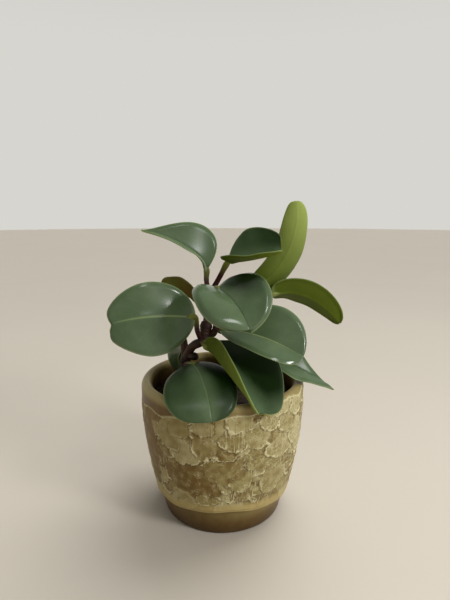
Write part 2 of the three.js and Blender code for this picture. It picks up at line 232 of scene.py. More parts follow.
# Stems, in millimetres: the radius of each run and the points that it passes through
STEMS = {
    "stem_main": (
        (3.6, ((-30, 7, 64), (-30, 6, 84), (-29, 5, 100), (-28, 4, 113))),
        (3.3, ((-28, 4, 110), (-26, 2, 119), (-21, -2, 126), (-13, -5, 130))),
        (2.6, ((-13, -5, 130), (-12, -4, 142), (-10, -2, 156), (-8, 0, 168))),
        (4.0, ((-13, -5, 131), (-12, -4, 141))),
        (2.6, ((-13, -5, 130), (-6, -5, 137), (-3, -3, 145))),
        (2.7, ((-26, 2, 116.5), (-21, -3, 117.5))),
        (2.1, ((-3, -3, 145), (6, 2, 154), (15, 6, 160))),
        (3.1, ((-28, 4, 110), (-29, 6, 122), (-32, 8, 132))),
        (2.4, ((-32, 8, 132), (-33, 8, 139))),
    ),
    "stem_second": (
        (3.0, ((23, 9, 66), (24, 8, 84), (27, 6, 98))),
        (2.6, ((27, 6, 98), (27, 5, 108), (27, 6, 115))),
    ),
}


def colour(description, code):
    """A colour setting. Its default is the linear form of a six-digit sRGB code, where each channel c
    becomes c/12.92 if it is dark, and ((c + 0.055)/1.055)^2.4 if not."""
    channels = np.array([int(code[i : i + 2], 16) for i in (0, 2, 4)]) / 255
    linear = np.where(channels < 0.04045, channels / 12.92, ((channels + 0.055) / 1.055) ** 2.4)
    return FloatVectorProperty(
        description=description, default=tuple(linear), size=3, min=0, max=1, subtype="COLOR"
    )


def number(description, default, largest=1, **kind):
    return FloatProperty(description=description, default=default, min=0, max=largest, **kind)


def length(description, default, largest=0.1):
    return number(description, default, largest, precision=5, unit="LENGTH")


def count(description, default):
    return IntProperty(description=description, default=default, min=0, max=2000)


class LeafSettings(bpy.types.PropertyGroup):
    """Sizes and colours of the leaves."""

    thickness: length("Thickness of the blade beside the midrib", 1.5 * MM)
    margin: length("Thickness just inside the rounded margin", 1.1 * MM)
    groove: length("Depth of the midrib's groove on the upper side", 0.35 * MM)
    stalk: length("Radius of a leaf stalk at its middle", 1.9 * MM)
    wave: length("Height of the blade's gentle waves at the margin", 0.5 * MM)
    roll: length("How far the margin rolls down", 0.9 * MM)
    upper: colour("The glossy upper side", "586b4b")
    upper_dark: colour("Darker tone of the upper side", "495d3e")
    # Painted shade: the dark green for leaves, and bases of undersides, that lie in the shadow of others.
    shaded: colour("The deepest green, of leaves low in the plant", "0e2004")
    pale: colour("Underside of a young leaf", "92a252")
    olive: colour("Underside of an old leaf", "5d6c1a")
    flush: colour("The reddish flush under some leaves", "6a4a18")
    edge: colour("The thin light line along the margin, and the midrib", "97a872")
    stalk_top: colour("The leaf end of a stalk", "8a9440")
    stalk_foot: colour("The stem end of a stalk", "3b2222")


class StemSettings(bpy.types.PropertyGroup):
    """Colours of the stems."""

    bark: colour("The stem's dark purple-brown skin", "2a1713")
    young: colour("The lighter brown between two joints", "50382a")
    swelling: number("How much thicker a joint is than its run", 0.16, subtype="FACTOR")


class PotSettings(bpy.types.PropertyGroup):
    """Relief and colours of the pot's glaze."""

    relief: length("How far the ridges of the crust stand over its pools", 0.9 * MM)
    flake_count: count("Random flakes in the crust", 330)
    khaki: colour("The crust's main tone", "968957")
    pool: colour("The smooth brown flakes", "71592c")
    pale: colour("The palest flakes", "b6ab80")
    cream: colour("The ragged light ridges", "dcd3a6")
    band: colour("The light band along the crust's lower edge", "bda96f")
    glaze: colour("The smooth glaze at the rim and the foot", "664d26")
    # The dark glaze inside the pot. It is also the colour of painted shade under the flakes' raised borders
    # and on the pot's left side, and of the darker glaze near the floor.
    inside: colour("The dark glaze inside the pot", "3c2a14")


class SoilSettings(bpy.types.PropertyGroup):
    """Roughness and colours of the soil."""

    roughness: length("Height of the soil's lumps", 1.2 * MM)
    crumb: length("Size of a large crumb", 2.4 * MM)
    crumb_count: count("Loose crumbs on the soil", 420)
    dark: colour("Moist peat", "241a13")
    light: colour("Dry fibres and bark", "5a4431")


class StageSettings(bpy.types.PropertyGroup):
    """Floor, lights and camera."""

    floor: colour("Plain pale floor", "c6beb1")
    bright: colour("Light of the room behind the plant", "d7d5cf")
    dim: colour("Light of the room in front of the plant", "aeaaa2")
    ceiling: number("Brightness of the room overhead", 0.42)
    key_strength: number("Strength of the light from overhead", 2.2, 10)
    key_width: number("How wide that light is, for soft shadows", math.radians(50), 3, subtype="ANGLE")
    window_power: number("Power of the square light in front", 4.6, 1000, unit="POWER")
    pane_power: number("Power of the square light above it", 1.5, 1000, unit="POWER")
    camera_distance: length("From the pot's axis to the camera", 0.326, 5)
    camera_height: length("From the floor to the camera", 0.224, 5)
    camera_pitch: number("How far the camera looks down", math.radians(11.1), 1.5, subtype="ANGLE")
    lens: number("Focal length in millimetres", 27, 500)


class GradientNoise:
    """Smooth noise of about -1 to 1. Each corner of a unit lattice has a random slope, and a point
    blends the heights that the slopes of its cell's eight corners give there."""

    def __init__(self, seed):
        random = np.random.default_rng(seed)
        self.order = random.permutation(256)
        slopes = random.normal(size=(256, 3))
        self.slopes = slopes / np.linalg.norm(slopes, axis=1, keepdims=True)

    def __call__(self, points):
        cell = np.floor(points).astype(int)
        within = points - cell
        fade = within**3 * (within * (within * 6 - 15) + 10)
        total = np.zeros(points.shape[:-1])
        for corner in itertools.product((0, 1), repeat=3):
            x, y, z = np.moveaxis((cell + corner) % 256, -1, 0)
            slope = self.slopes[self.order[(self.order[(self.order[x] + y) % 256] + z) % 256]]
            weight = np.where(corner, fade, 1 - fade).prod(-1)
            total += weight * ((within - corner) * slope).sum(-1)
        return 1.6 * total

    def layered(self, points, layers):
        """The sum of ever finer layers, each twice as fine and half as high as the one before."""
        return sum(self(points * 2**layer + 17 * layer) / 2**layer for layer in range(layers))


def smooth_step(low, high, value):
    """0 below low, 1 above high, and a smooth S between them."""
    share = np.clip((value - low) / (high - low), 0, 1)
    return share * share * (3 - 2 * share)


def bell(distance, reach):
    """exp(-(distance/reach)^2): 1 in the middle and almost 0 at twice the reach."""
    return np.exp(-((distance / reach) ** 2))


def unit(vectors):
    return vectors / np.linalg.norm(vectors, axis=-1, keepdims=True)


def bezier(points, amount):
    """An amount of points along the quadratic curve (1-s)^2 a + 2s(1-s) b + s^2 c of three points."""
    s = np.linspace(0, 1, amount)[:, None]
    return (1 - s) ** 2 * points[0] + 2 * s * (1 - s) * points[1] + s**2 * points[2]


def around(radius, angle, height):
    """Points at a radius and an angle round the pot's axis, and at a height."""
    return np.stack([radius * np.cos(angle), radius * np.sin(angle), height], -1)


def grid_faces(rows, columns):
    """Quads between rows of vertices whose last column joins the first one, facing outwards where
    the rows run along an axis and the columns turn right-handed round it."""
    row, column = np.meshgrid(np.arange(rows - 1), np.arange(columns), indexing="ij")
    here = row * columns + column
    beside = row * columns + (column + 1) % columns
    return np.stack([here, beside, beside + columns, here + columns], -1).reshape(-1, 4)


def fan_faces(ring, centre, columns, forwards):
    """Triangles from a ring of vertices to a centre vertex."""
    column = np.arange(columns)
    here, beside = ring + column, ring + (column + 1) % columns
    middle = np.full(columns, centre)
    return np.stack([beside, here, middle] if forwards else [here, beside, middle], -1)


class Surface:
    """Vertices, faces and values per vertex of a piece, gathered from several closed surfaces."""

    def __init__(self):
        self.points, self.quads, self.triangles, self.values = [], [], [], {}
        self.count = 0

    def add(self, points, quads, triangles, **values):
        points = np.asarray(points).reshape(-1, 3)
        for name in {*values, *self.values}:
            known = self.values.setdefault(name, [np.zeros(self.count)] if self.count else [])
            known.append(np.broadcast_to(np.ravel(values.get(name, 0)), len(points)))
        self.points.append(points)
        self.quads.append(np.asarray(quads, int).reshape(-1, 4) + self.count)
        self.triangles.append(np.asarray(triangles, int).reshape(-1, 3) + self.count)
        self.count += len(points)

    def add_rings(self, rings, start, end, **values):
        """A closed surface from rings of vertices, with a point that closes it at each end. A value
        is given per ring and column, and the end points take the mean of the ring beside them."""
        rows, columns = rings.shape[:2]
        points = np.concatenate([rings.reshape(-1, 3), [start, end]])
        first, last = rows * columns, rows * columns + 1
        triangles = np.concatenate([
            fan_faces(0, first, columns, forwards=True),
            fan_faces((rows - 1) * columns, last, columns, forwards=False),
        ])
        filled = {}
        for name, value in values.items():
            value = np.broadcast_to(value, (rows, columns))
            filled[name] = np.concatenate([value.ravel(), [value[0].mean(), value[-1].mean()]])
        self.add(points, grid_faces(rows, columns), triangles, **filled)

    def build(self, name, material, slot, *nodes):
        """The piece as an object that rides on the root and stands for the CAD nodes."""
        mesh = bpy.data.meshes.new(name)
        points, quads, triangles = map(np.concatenate, (self.points, self.quads, self.triangles))
        mesh.from_pydata(points.tolist(), [], quads.tolist() + triangles.tolist(), shade_flat=False)
        for key, value in self.values.items():
            attribute = mesh.attributes.new(key, "FLOAT", "POINT")
            attribute.data.foreach_set("value", np.concatenate(value).astype(np.float32))
        mesh.validate()
        mesh.materials.append(material)
        piece = bpy.data.objects.new(name, mesh)
        bpy.context.scene.collection.objects.link(piece)
        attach(piece, "root")
        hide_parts(*nodes)


def smooth_path(points, amount):
    """An amount of points evenly along a curve through the given ones: a cubic between each two, whose
    slopes at a point follow the chord of its neighbours."""
    points = np.array(points, float)
    extended = np.concatenate([2 * points[:1] - points[1:2], points, 2 * points[-1:] - points[-2:-1]])
    slope = (extended[2:] - extended[:-2]) / 2
    place = np.linspace(0, len(points) - 1, 12 * len(points))
    piece = np.minimum(place.astype(int), len(points) - 2)
    s = (place - piece)[:, None]
    curve = (
        (2 * s**3 - 3 * s**2 + 1) * points[piece]
        + (s**3 - 2 * s**2 + s) * slope[piece]
        + (3 * s**2 - 2 * s**3) * points[piece + 1]
        + (s**3 - s**2) * slope[piece + 1]
    )
    way = np.concatenate([[0], np.cumsum(np.linalg.norm(np.diff(curve, axis=0), axis=1))])
    even = np.linspace(0, way[-1], amount)
    return np.stack([np.interp(even, way, curve[:, k]) for k in range(3)], -1)


def add_tube(surface, path, radius, sides, **values):
    """A tube round a path. Each ring is its point + radius (side cos a + lift sin a), and both ends
    are rounded off by two narrower rings."""

    def spread(rows):
        return np.concatenate([rows[:1], rows[:1], rows, rows[-1:], rows[-1:]])[:, None]

    forward = unit(np.gradient(path, axis=0))
    bend = np.cross(forward[0], forward[-1])
    steady = bend if np.linalg.norm(bend) > 0.05 else np.cross(forward[0], (0.3, 0.9, 0.2))
    lift = unit(steady - (forward @ steady)[:, None] * forward)
    side = np.cross(lift, forward)
    radius = np.broadcast_to(radius, len(path))
    back, ahead = forward[0] * radius[0], forward[-1] * radius[-1]
    first, last = path[0] - np.outer((0.95, 0.7), back), path[-1] + np.outer((0.7, 0.95), ahead)
    centres = np.concatenate([first, path, last])
    widths = np.concatenate([radius[[0, 0]] * (0.35, 0.75), radius, radius[[-1, -1]] * (0.75, 0.35)])
    angle = np.linspace(0, 2 * np.pi, sides, endpoint=False)[:, None]
    turn = spread(side) * np.cos(angle) + spread(lift) * np.sin(angle)
    rings = centres[:, None] + widths[:, None, None] * turn
    stretched = {name: spread(np.broadcast_to(value, len(path))) for name, value in values.items()}
    surface.add_rings(rings, path[0] - back, path[-1] + ahead, **stretched)


class Signal:
    """An output socket of a shader node. Arithmetic on it adds Math nodes."""

    def __init__(self, tree, socket):
        self.tree, self.socket = tree, socket

    def math(self, operation, other, clamp=False, swapped=False):
        node = self.tree.nodes.new("ShaderNodeMath")
        node.operation = operation
        node.use_clamp = clamp
        for socket, operand in zip(node.inputs, (other, self) if swapped else (self, other)):
            if isinstance(operand, Signal):
                self.tree.links.new(operand.socket, socket)
            else:
                socket.default_value = operand
        return Signal(self.tree, node.outputs[0])

    def __add__(self, other):
        return self.math("ADD", other)

    def __sub__(self, other):
        return self.math("SUBTRACT", other)

    def __rsub__(self, other):
        return self.math("SUBTRACT", other, swapped=True)

    def __mul__(self, other):
        return self.math("MULTIPLY", other)

    def __pow__(self, other):
        return self.math("POWER", other)

    __radd__ = __add__
    __rmul__ = __mul__

    def clamped(self):
        return self.math("ADD", 0, clamp=True)

    def between(self, low, high):
        """0 below low, 1 above high, straight between them."""
        return (self - low).math("MULTIPLY", 1 / (high - low), clamp=True)

    def outside(self, low, high):
        """1 below low, 0 above high, straight between them."""
        return (high - self).math("MULTIPLY", 1 / (high - low), clamp=True)


class Nodes:
    """Adds nodes to a shader tree."""

    def __init__(self, tree):
        self.tree = tree

    def add(self, kind, settings=None, inputs=None, output=0):
        """One output of a new node, whose inputs are signals or plain values."""
        node = self.tree.nodes.new("ShaderNode" + kind)
        for key, value in (settings or {}).items():
            setattr(node, key, value)
        for key, value in (inputs or {}).items():
            if isinstance(value, Signal):
                self.tree.links.new(value.socket, node.inputs[key])
            else:
                node.inputs[key].default_value = value
        return Signal(self.tree, node.outputs[output])


class Finish(Nodes):
    """A material under construction."""

    def __init__(self, name):
        self.material = bpy.data.materials.new(name)
        self.material.use_nodes = True
        super().__init__(self.material.node_tree)
        self.tree.nodes.clear()
        self.place = self.add("TexCoord", output="Object")

    def value(self, name):
        """The piece's own value of that name at each vertex."""
        return self.add("Attribute", {"attribute_name": name}, output="Fac")

    def noise(self, scale, detail=3, roughness=0.55, stretch=(1, 1, 1)):
        place = self.add("Mapping", {}, {"Vector": self.place, "Scale": stretch})
        inputs = {"Vector": place, "Scale": scale, "Detail": detail, "Roughness": roughness}
        return self.add("TexNoise", {}, inputs)

    def mix(self, share, first, second):
        """The colour first where share is 0 and second where it is 1."""
        first, second = (tone if isinstance(tone, Signal) else (*tone, 1) for tone in (first, second))
        return self.add("Mix", {"data_type": "RGBA"}, {0: share, 6: first, 7: second}, output=2)

    def bump(self, height, distance, strength=1):
        inputs = {"Height": height, "Distance": distance, "Strength": strength}
        return self.add("Bump", {}, inputs)

    def finish(self, inputs):
        shader = self.add("BsdfPrincipled", {}, inputs)
        output = self.tree.nodes.new("ShaderNodeOutputMaterial")
        self.tree.links.new(shader.socket, output.inputs["Surface"])
        return self.material


def leaf_finish(settings, gloss):
    """Waxy green above with a fine light midrib and margin, matt and paler below."""
    finish = Finish(f"leaf_skin_{100 * gloss:.0f}")
    names = ("upper", "along", "across", "deep", "pale", "flush", "rib", "edge", "stalk", "stalk_share")
    upper, along, across, deep, pale, flush, rib, edge, stalk, stalk_share = map(finish.value, names)
    cloud = finish.noise(45, 3).between(0.35, 0.65)
    dimples = finish.noise(1300, 2)
    uneven = finish.noise(170, 2)
    side_veins = (along * 7 - across**1.3 * 3.2).math("PINGPONG", 0.5) * 2
    vein = (1 - side_veins * 5).clamped() * (across * (1 - across) * 4).clamped()
    top = finish.mix(cloud, settings.upper_dark, settings.upper)
    # Painted shade: the upper side darkens to the shade green where other leaves shade it.
    top = finish.mix(deep, top, settings.shaded)
    top = finish.mix(vein * (1 - deep) * 0.03, top, settings.edge)
    # The underside is pale on young leaves and olive on old ones. It pales towards the tip and darkens with
    # painted shade towards the base, by the stalk.
    under = finish.mix(pale * along.between(0.1, 0.85), settings.olive, settings.pale)
    under = finish.mix((cloud * 0.12 + (1 - along) * 0.3).clamped(), under, settings.shaded)
    under = finish.mix(flush * (0.4 + cloud * 0.6), under, settings.flush)
    skin = finish.mix(upper, under, top)
    young = (0.3 - along * 5).clamped() * 2
    # The midrib's own lighter tone, with a painted highlight along its ridge where a leaf's value is large.
    skin = finish.mix((rib * upper + young).clamped(), skin, settings.edge)
    skin = finish.mix((edge * 0.35).clamped(), skin, settings.edge)
    shaft = finish.mix(stalk_share.between(0.4, 0.85), settings.stalk_foot, settings.stalk_top)
    skin = finish.mix(stalk, skin, shaft)
    return finish.finish({
        "Base Color": skin,
        "Roughness": 0.6 - upper * 0.18 + cloud * 0.06,
        "Coat Weight": upper * (0.8 * gloss),
        "Coat Roughness": 0.35 - 0.2 * gloss,
        "Specular IOR Level": 0.12 * gloss,
        "Subsurface Weight": 0.1,
        "Subsurface Radius": (0.6, 1.0, 0.3),
        "Subsurface Scale": 1.2 * MM,
        "Normal": finish.bump(dimples * 0.6 + uneven + vein * -0.25, 0.25 * MM, 0.7),
    })


def stem_finish(settings):
    """Dark purple-brown skin, lighter between the joints, with fine specks and lengthwise wrinkles."""
    finish = Finish("stem_skin")
    specks = finish.noise(1400, 2).between(0.56, 0.66)
    cloud = finish.noise(120, 3).between(0.4, 0.65)
    wrinkles = finish.noise(700, 3, stretch=(1, 1, 0.15))
    skin = finish.mix(cloud * finish.value("run"), settings.bark, settings.young)
    skin = finish.mix(specks * 0.35, skin, settings.young)
    return finish.finish({
        "Base Color": skin,
        "Roughness": 0.42 + cloud * 0.2,
        "Specular IOR Level": 0.25,
        "Normal": finish.bump(wrinkles + specks * 0.4, 0.25 * MM, 0.7),
    })


def pot_finish(settings):
    """Glaze in overlapping flakes with ragged cream ridges on the crust, and smooth on the rim, the
    foot and the inside."""
    finish = Finish("pot_glaze")
    names = ("crust", "band", "inside", "low", "rich", "side", "lip", "tone", "ridge", "comb", "shade")
    crust, band, inside, low, rich, side, lip, tone, ridge, comb, shade = map(finish.value, names)
    fine = finish.noise(900, 4, 0.7)
    patchy = finish.noise(170, 3)
    teeth = finish.noise(950, 2, stretch=(1, 1, 0.1)).between(0.5, 0.62)
    warped = finish.add("VectorMath", {"operation": "MULTIPLY_ADD"}, {
        0: finish.add("TexNoise", {}, {"Vector": finish.place, "Scale": 330, "Detail": 2}, output="Color"),
        1: (0.005, 0.005, 0.005),
        2: finish.place,
    })
    crackle = finish.add("TexVoronoi", {"feature": "DISTANCE_TO_EDGE"}, {"Vector": warped, "Scale": 330})
    lines = crackle.outside(0.02, 0.16) * (patchy + rich * 0.55).between(0.68, 0.98)
    ragged = (ridge * 1.5 + fine - 0.62).between(0.1, 0.6)
    drips = teeth * (comb * 1.6).clamped()
    cream = (ragged + drips * 0.8 + lines * 0.75).clamped()
    body = finish.mix(tone.between(0, 0.5), settings.pool, settings.khaki)
    body = finish.mix(tone.between(0.5, 1), body, settings.pale)
    body = finish.mix((fine - 0.5).math("ABSOLUTE", 0) * 0.8, body, settings.pool)
    # Painted shadow: the dark inside glaze just below each raised flake border.
    body = finish.mix(shade * (0.4 + rich * 0.4), body, settings.inside)
    body = finish.mix(cream * 0.9, body, settings.cream)
    body = finish.mix((band * 0.75).clamped() * crust, body, settings.band)
    # Painted shade: the crust darkens towards the pot's left side.
    body = finish.mix(side.outside(0.05, 0.6) * 0.2, body, settings.glaze)
    # Lighter khaki in random patches, as painted light on the foot's upper edge towards the right, and as a
    # painted reflection on the lip.
    light = (patchy.between(0.35, 0.65) * 0.15 + band * side * 0.8 + lip * 0.7).clamped()
    glaze = finish.mix(light, settings.glaze, settings.khaki)
    # Painted highlight: the lip pales further on the left side.
    glaze = finish.mix(lip * side.outside(0.1, 0.7) * 0.25, glaze, settings.pale)
    # Darker glaze near the floor, and painted shade on the left side below the lip.
    dim = (low * 0.6 + side.outside(0.1, 0.7) * 0.15 * (1 - lip)).clamped()
    glaze = finish.mix(dim, glaze, settings.inside)
    skin = finish.mix(crust, glaze, body)
    skin = finish.mix(inside, skin, settings.inside)
    height = (fine * (0.3 + cream * 0.5) + cream * 0.6) * crust * (1 - band * 0.7)
    return finish.finish({
        "Base Color": skin,
        "Roughness": crust * (0.1 + cream * 0.2) + 0.35,
        "Specular IOR Level": 0.18,
        "Normal": finish.bump(height, 0.5 * MM, 0.8),
    })


def soil_finish(settings):
    """Dark moist peat with lighter dry crumbs and fibres."""
    finish = Finish("soil")
    cloud = finish.noise(300, 4, 0.7)
    dry = (finish.value("crumb") * 0.6 + cloud.between(0.5, 0.72)).clamped()
    return finish.finish({
        "Base Color": finish.mix(dry, settings.dark, settings.light),
        "Roughness": 0.85 + dry * 0.1,
        "Normal": finish.bump(cloud, 0.8 * MM, 0.9),
    })


def floor_finish(settings):
    """A plain pale floor with barely visible soft clouds."""
    finish = Finish("floor")
    cloud = finish.noise(3, 2).between(0.3, 0.7)
    darker = tuple(0.97 * channel for channel in settings.floor)
    return finish.finish({
        "Base Color": finish.mix(cloud, settings.floor, darker),
        "Roughness": 0.6,
    })


def outline(s, base_wedge, tip_wedge):
    """A blade's half width at s: s^a (1-s)^b, scaled to be 1 where it is widest, at a/(a+b)."""
    widest = base_wedge / (base_wedge + tip_wedge)
    peak = widest**base_wedge * (1 - widest) ** tip_wedge
    return s**base_wedge * (1 - s) ** tip_wedge / peak


def midrib(leaf, s):
    """Points of the midrib's quadratic curve at s, with the forward, up and right directions there."""
    base, middle, tip = (np.array(leaf[key], float) * MM for key in ("base", "middle", "tip"))
    bend = 2 * middle - (base + tip) / 2
    s = np.asarray(s)[..., None]
    points = (1 - s) ** 2 * base + 2 * s * (1 - s) * bend + s**2 * tip
    forward = unit(2 * (1 - s) * (bend - base) + 2 * s * (tip - bend))
    face = np.array(leaf["face"], float)
    up = unit(face - (forward @ face)[..., None] * forward)
    return points, forward, up, np.cross(forward, up)


def side_pair(leaf, key, s, t):
    """A pair of the leaf's values, for t below and above 0, that fades to its tip pair over s."""
    start, end = leaf[key], leaf.get(key + "_tip", leaf[key])
    return np.where(t < 0, start[0], start[1]) * (1 - s) + np.where(t < 0, end[0], end[1]) * s


def blade_points(leaf, s, t):
    """The blade's middle surface at s along the midrib and t across it, -1 at the left margin to 1
    at the right one. A half leaves the midrib at its fold and turns through its curl as an arc of
    its width, and its ear and notch carry its margin back past the base and on past the tip."""

    def pick(pair):
        return np.where(t < 0, pair[0], pair[1])

    points, forward, up, right = midrib(leaf, s)
    fold, curl = (np.radians(side_pair(leaf, key, s, t)) + 1e-6 for key in ("fold", "curl"))
    across = np.hypot(t, CREASE_WIDTH) - CREASE_WIDTH
    width = leaf["half_width"] * MM * pick(leaf["share"])
    width = width * outline(s, pick(leaf["base_wedge"]), pick(leaf["tip_wedge"]))
    sideways = width * (np.sin(fold + curl * across) - np.sin(fold)) / curl
    lift = width * (np.cos(fold) - np.cos(fold + curl * across)) / curl
    back = pick(leaf["ear"]) * MM * (1 - s) ** 4 * (1 - (1 - s) ** 12)
    ahead = pick(leaf["notch"]) * MM * s**6 * (1 - s**40)
    along = np.abs(t) ** 1.2 * (ahead - back)
    return (
        points
        + (np.sign(t) * sideways)[..., None] * right
        + lift[..., None] * up
        + along[..., None] * forward
    ), width


def add_blade(surface, leaf, settings):
    """The blade as rings round its thickness. Column angle a puts a point at t = sign(cos a)
    |cos a|^1.4 and lifts it by half the thickness times the sign of sin a, with a round margin.
    A narrow groove runs along the midrib above, and a keel below. The halves wave gently, and their
    margins roll down."""
    s = (1 - np.cos(np.linspace(0, np.pi, BLADE_ROWS + 2)[1:-1])) / 2
    angle = np.linspace(0, -2 * np.pi, BLADE_COLUMNS, endpoint=False)
    t = np.sign(np.cos(angle)) * np.abs(np.cos(angle)) ** 1.4
    side = np.sign(np.round(np.sin(angle), 9))
    s, t = np.meshgrid(s, t, indexing="ij")
    nudge = 1e-4
    middle, width = blade_points(leaf, s, t)
    along = blade_points(leaf, s + nudge, t)[0] - blade_points(leaf, s - nudge, t)[0]
    across = blade_points(leaf, s, t + nudge)[0] - blade_points(leaf, s, t - nudge)[0]
    normal = unit(np.cross(across, along))
    out = np.abs(t)
    half = (settings.thickness * (1 - t**2) + settings.margin * t**2) / 2
    half = half * np.sqrt(np.clip(1 - out**16, 0, 1)) * np.sqrt(np.clip(1 - np.abs(2 * s - 1) ** 24, 0, 1))
    from_rib, from_margin = out * width, (1 - out) * width
    from_crease = (np.hypot(t, CREASE_WIDTH) - CREASE_WIDTH) * width
    groove = settings.groove * bell(from_rib, 0.9 * MM) * np.sqrt(1 - s) * smooth_step(0, 0.08, s)
    keel = 0.5 * MM * bell(from_rib, 1.3 * MM) * (1 - s) ** 0.8
    offset = np.select([side > 0, side < 0], [half - groove, -half - keel], 0)
    phase, half_phase = leaf["base"][0] + leaf["tip"][2], np.sign(t)
    waves = np.sin(9 * s + phase + half_phase) + 0.5 * np.sin(17 * s + 2 * phase - 2 * half_phase)
    offset = offset + settings.wave * waves * t**2 * np.sqrt(4 * s * (1 - s))
    rolled = (1 - smooth_step(0, 3.5 * MM, from_margin)) * smooth_step(0, 0.1, s)
    offset = offset - leaf["roll"] * settings.roll * rolled
    start, tip = midrib(leaf, np.array([0.0, 1.0]))[0]
    surface.add_rings(
        middle + offset[..., None] * normal,
        start,
        tip,
        upper=(side + 1) / 2 * np.ones_like(s),
        along=s,
        across=out,
        # How light the midrib is: its own tone, plus a painted highlight on some leaves.
        rib=leaf["rib"] * bell(from_crease, 0.35 * MM) * (1 - s) ** 0.4,
        edge=smooth_step(0.9 * MM, 0.25 * MM, from_margin),
        # Painted shade on each half, fading out towards the midrib.
        deep=np.clip(side_pair(leaf, "deep", s, t) * smooth_step(0.05, 0.6, out), 0, 1),
        pale=leaf["pale"],
        flush=leaf["flush"],
    )


def add_stalk(surface, leaf, settings):
    """The leaf stalk: a tube from its stem to the underside of the blade, a little thicker at its
    foot, which flattens out under the midrib."""
    points, _, up, _ = midrib(leaf, np.array([0.0, 0.09, 0.2]))
    depth = np.array([[0.5], [0.9], [0.6]]) * MM
    path = smooth_path(np.concatenate([np.array(leaf["stalk"], float) * MM, points - depth * up]), 30)
    share = np.linspace(0, 1, len(path))
    flare = 0.25 * bell(share, 0.12) + 0.22 * bell(share - 0.68, 0.12)
    radius = settings.stalk * (1 + flare - 0.62 * smooth_step(0.68, 1, share))
    under = smooth_step(0.72, 0.9, share)
    values = dict(stalk=1 - under, stalk_share=share, upper=0.6 * (1 - under), along=0.2 * under)
    add_tube(surface, path, radius, STALK_SIDES, pale=leaf["pale"], **values)


class PieceOperator:
    """Runs make() with the operator's own group of settings"""

    def execute(self, context):
        self.make(getattr(context.scene.peperomia, self.group))
        return {"FINISHED"}


class PEPEROMIA_OT_leaves(PieceOperator, bpy.types.Operator):
    """Makes each leaf: a thick blade with a round margin, and its stalk"""

    bl_idname = "peperomia.leaves"
    bl_label = "Make leaves"
    group = "leaf"

    def make(self, settings):
        grades = sorted({leaf["gloss"] for leaf in LEAVES.values()})
        materials = {gloss: leaf_finish(settings, gloss) for gloss in grades}
        for node, leaf in LEAVES.items():
            surface = Surface()
            add_blade(surface, leaf, settings)
            add_stalk(surface, leaf, settings)
            name = node.replace("leaf_", "") + "_leaf"
            surface.build(name, materials[leaf["gloss"]], "leaf_skin", node)


class PEPEROMIA_OT_stems(PieceOperator, bpy.types.Operator):
    """Makes the stems: bent tubes that swell at their joints"""

    bl_idname = "peperomia.stems"
    bl_label = "Make stems"
    group = "stem"

    def make(self, settings):
        material = stem_finish(settings)
        for node, runs in STEMS.items():
            surface = Surface()
            for radius, points in runs:
                path = smooth_path(np.array(points) * MM, 12 * len(points))
                share = np.linspace(0, 1, len(path))
                to_joint = np.minimum(share, 1 - share) * np.linalg.norm(path[-1] - path[0])
                swell = settings.swelling * bell(to_joint, 2.2 * MM)
                thick = radius * MM * (1 + swell - 0.04 * np.sin(share * 23))
                add_tube(surface, path, thick, STEM_SIDES, run=1 - bell(to_joint, 4 * MM))
            surface.build(node.replace("stem_", "") + "_stem", material, "stem_skin", node)


def crust_radius(height):
    curve = bezier(CRUST_CURVE, 80)
    return np.interp(height, curve[:, 1], curve[:, 0])


def crust_edge(angle):
    """How far the crust's lower edge rises over its mean height: higher in front and at the back than
    at the sides, with small waves."""
    return (2.2 * np.cos(2 * angle) + 0.5 * np.sin(5 * angle + 1) + 0.3 * np.sin(11 * angle)) * MM


def crust_top(angle):
    """How far down the smooth rim over the crust reaches: far at the left, almost nothing at the right."""
    return (8.5 - 6.5 * np.sin(angle + 0.4) + 1.2 * np.sin(7 * angle) + 0.7 * np.sin(17 * angle + 2)) * MM


def glaze_flakes(settings):
    """The flakes of the crust, one row each, in the order in which they lie: angle from the front,
    height, half width, half height, tone, ridge and comb. First come random ones, smaller and paler
    towards the upper right, then the ones listed for the front, both from low to high."""
    random = np.random.default_rng(FLAKE_SEED)
    amount = settings.flake_count
    angle = random.uniform(-np.pi, np.pi, amount)
    height = random.uniform(0.022, POT_HEIGHT, amount)
    rich = richness(angle, height)
    size = random.uniform(4.5, 12, amount) * (1.15 - 0.6 * rich) * MM
    tone = np.clip(random.uniform(-0.1, 0.9, amount) + 0.45 * (rich - 0.5), 0, 1)
    ridge = np.clip(random.uniform(0.1, 1, amount) + 0.8 * (rich - 0.5), 0.1, 1)
    comb = random.uniform(0, 1, amount) ** 3
    scattered = np.stack([angle, height, size * random.uniform(1, 1.4, amount), size, tone, ridge, comb], -1)
    placed = np.array(PLACED_FLAKES, float) * (math.pi / 180, MM, MM, MM, 1, 1, 1)
    return np.concatenate([group[np.argsort(group[:, 1])] for group in (scattered, placed)])


def richness(angle, height):
    """Where the glaze broke into fine pale crackle: most at the upper right, least at the lower left."""
    return np.clip(0.42 + 0.4 * np.sin(angle - 0.1) * smooth_step(0.03, 0.075, height), 0, 1)


